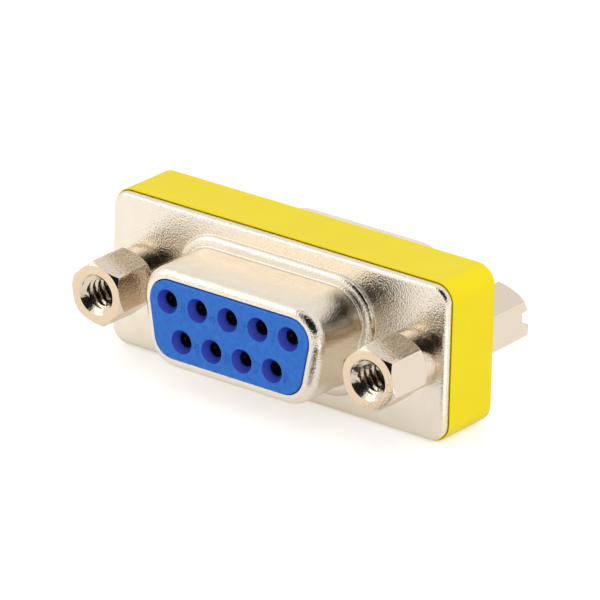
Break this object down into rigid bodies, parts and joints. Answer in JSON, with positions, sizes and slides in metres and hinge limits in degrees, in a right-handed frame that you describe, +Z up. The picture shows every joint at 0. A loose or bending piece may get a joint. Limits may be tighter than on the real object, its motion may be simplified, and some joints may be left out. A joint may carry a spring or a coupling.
{
  "type": "d-sub gender changer",
  "caption": "Slim D-sub gender changer with a D-shaped metal socket on each side, blue insulator faces with contact holes, hexagonal standoffs, slotted hex screws and a yellow band.",
  "frame": {"origin": "centre of the lower side of the yellow band, which the part stands on, midway between the front and rear faces", "axes": "+X along the long side of the body, +Y from the front face with the standoffs to the rear face with the slotted screws, +Z up to the side where the front face has its wide row"},
  "size_m": [0.031, 0.0174, 0.0124],
  "materials": {
    "plated_steel": "satin",
    "nickel_screw": "gloss",
    "blue_plastic": "satin",
    "yellow_film": "satin",
    "gold_contact": "gloss"
  },
  "bodies": {
    "root": {"front_shell": "plated_steel", "rear_shell": "plated_steel", "front_insulator": "blue_plastic", "rear_insulator": "blue_plastic", "label_band": "yellow_film", "contact_1": "gold_contact", "contact_2": "gold_contact", "contact_3": "gold_contact", "contact_4": "gold_contact", "contact_5": "gold_contact", "contact_6": "gold_contact", "contact_7": "gold_contact", "contact_8": "gold_contact", "contact_9": "gold_contact", "standoff_left": "nickel_screw", "standoff_right": "nickel_screw", "jackscrew_left": "nickel_screw", "jackscrew_right": "nickel_screw"}
  },
  "joints": []
}
